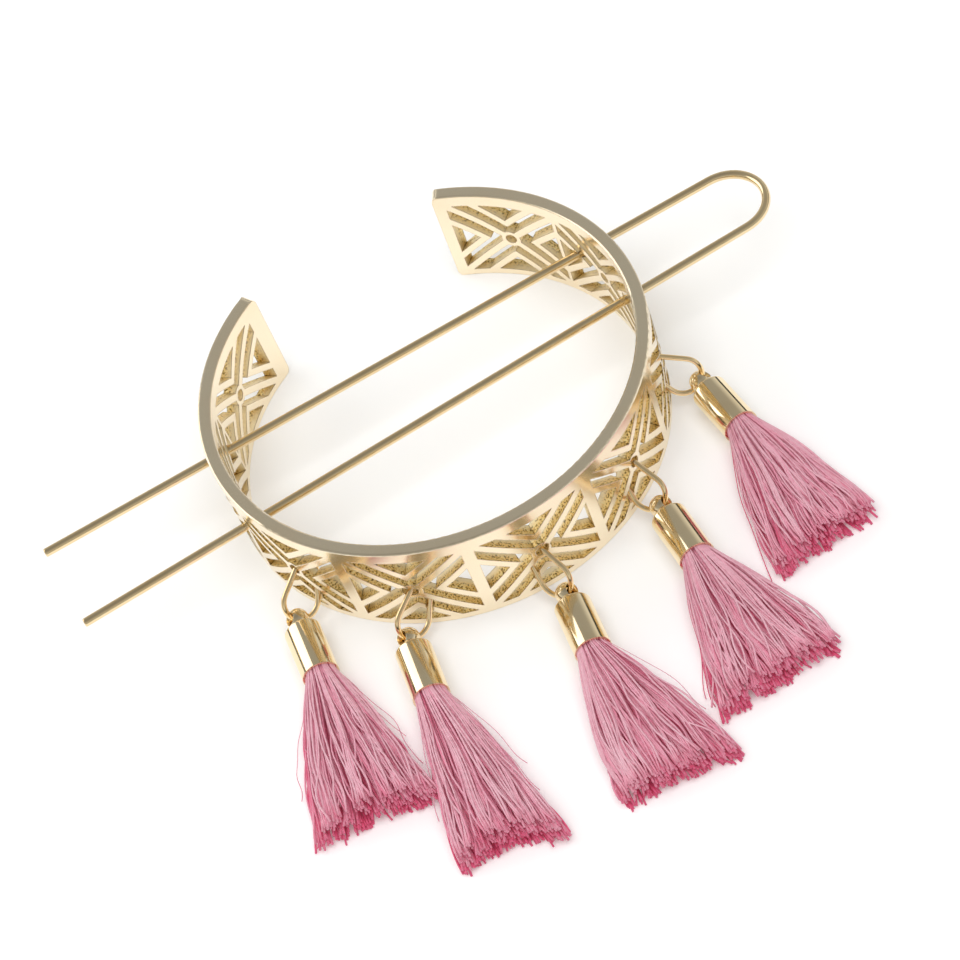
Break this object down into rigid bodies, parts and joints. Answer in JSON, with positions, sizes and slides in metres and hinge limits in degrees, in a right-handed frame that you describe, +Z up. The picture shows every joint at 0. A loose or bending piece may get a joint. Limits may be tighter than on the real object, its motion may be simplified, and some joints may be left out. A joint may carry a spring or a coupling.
{
  "type": "decorative hair pin",
  "caption": "Pierced C-shaped bun cuff with a two-prong fork through it and thread tassels hung on jump rings.",
  "frame": {"origin": "on the cuff's axis, in the plane that its lower rim stands on", "axes": "+Z up along the cuff's axis, +X along the fork towards its bend, +Y out through the cuff's gap; the tassels lie towards -Y"},
  "size_m": [0.106, 0.0933, 0.0156],
  "materials": {
    "cuff_gold": "cast brass, gold plated and polished",
    "fork_gold": "drawn wire, gold plated",
    "ring_gold": "gold plated wire",
    "cap_gold": "drawn sheet, gold plated and polished",
    "thread_pink": "viscose embroidery thread, soft sheen"
  },
  "bodies": {
    "cuff": {"cuff": "cuff_gold"},
    "fork": {"fork": "fork_gold"},
    "ring_1": {"jump_ring_1": "ring_gold"},
    "tassel_1": {"tassel_cap_1": "cap_gold", "tassel_head_1": "thread_pink", "tassel_skirt_1": "thread_pink"},
    "ring_2": {"jump_ring_2": "ring_gold"},
    "tassel_2": {"tassel_cap_2": "cap_gold", "tassel_head_2": "thread_pink", "tassel_skirt_2": "thread_pink"},
    "ring_3": {"jump_ring_3": "ring_gold"},
    "tassel_3": {"tassel_cap_3": "cap_gold", "tassel_head_3": "thread_pink", "tassel_skirt_3": "thread_pink"},
    "ring_4": {"jump_ring_4": "ring_gold"},
    "tassel_4": {"tassel_cap_4": "cap_gold", "tassel_head_4": "thread_pink", "tassel_skirt_4": "thread_pink"},
    "ring_5": {"jump_ring_5": "ring_gold"},
    "tassel_5": {"tassel_cap_5": "cap_gold", "tassel_head_5": "thread_pink", "tassel_skirt_5": "thread_pink"}
  },
  "joints": [
    {"name": "fork_slide", "type": "slide", "parent": "cuff", "child": "fork", "axis": [1, 0, 0], "range_m": [-0.015, 0.085]},
    {"name": "ring_swing_1", "type": "hinge", "parent": "cuff", "child": "ring_1", "pos_m": [-0.02608, -0.01245, 0.00615], "axis": [-0.4099, 0.9121, 0], "range_deg": [-4, 46]},
    {"name": "tassel_swing_1", "type": "hinge", "parent": "ring_1", "child": "tassel_1", "pos_m": [-0.02999, -0.01562, 0.00252], "axis": [0.7337, -0.1456, -0.6637], "range_deg": [-50, 15]},
    {"name": "ring_swing_2", "type": "hinge", "parent": "cuff", "child": "ring_2", "pos_m": [-0.01521, -0.02457, 0.0061], "axis": [-0.8396, 0.5432, 0], "range_deg": [-4, 46]},
    {"name": "tassel_swing_2", "type": "hinge", "parent": "ring_2", "child": "tassel_2", "pos_m": [-0.01945, -0.02733, 0.00252], "axis": [0.6632, -0.0506, -0.7467], "range_deg": [-64, 15]},
    {"name": "ring_swing_3", "type": "hinge", "parent": "cuff", "child": "ring_3", "pos_m": [-0.00071, -0.02889, 0.00617], "axis": [1, 0, 0], "range_deg": [-46, 4]},
    {"name": "tassel_swing_3", "type": "hinge", "parent": "ring_3", "child": "tassel_3", "pos_m": [0.00016, -0.03383, 0.00252], "axis": [-0.6254, 0.3897, -0.676], "range_deg": [-15, 70]},
    {"name": "ring_swing_4", "type": "hinge", "parent": "cuff", "child": "ring_4", "pos_m": [0.0151, -0.02464, 0.00617], "axis": [0.8396, 0.5432, 0], "range_deg": [-46, 4]},
    {"name": "tassel_swing_4", "type": "hinge", "parent": "ring_4", "child": "tassel_4", "pos_m": [0.01631, -0.0295, 0.00252], "axis": [-0.71, 0.3009, -0.6366], "range_deg": [-15, 55]},
    {"name": "ring_swing_5", "type": "hinge", "parent": "cuff", "child": "ring_5", "pos_m": [0.0261, -0.01241, 0.00612], "axis": [0.4099, 0.9121, 0], "range_deg": [-46, 4]},
    {"name": "tassel_swing_5", "type": "hinge", "parent": "ring_5", "child": "tassel_5", "pos_m": [0.03028, -0.01523, 0.00252], "axis": [-0.7054, -0.1656, -0.6892], "range_deg": [-15, 45]}
  ]
}
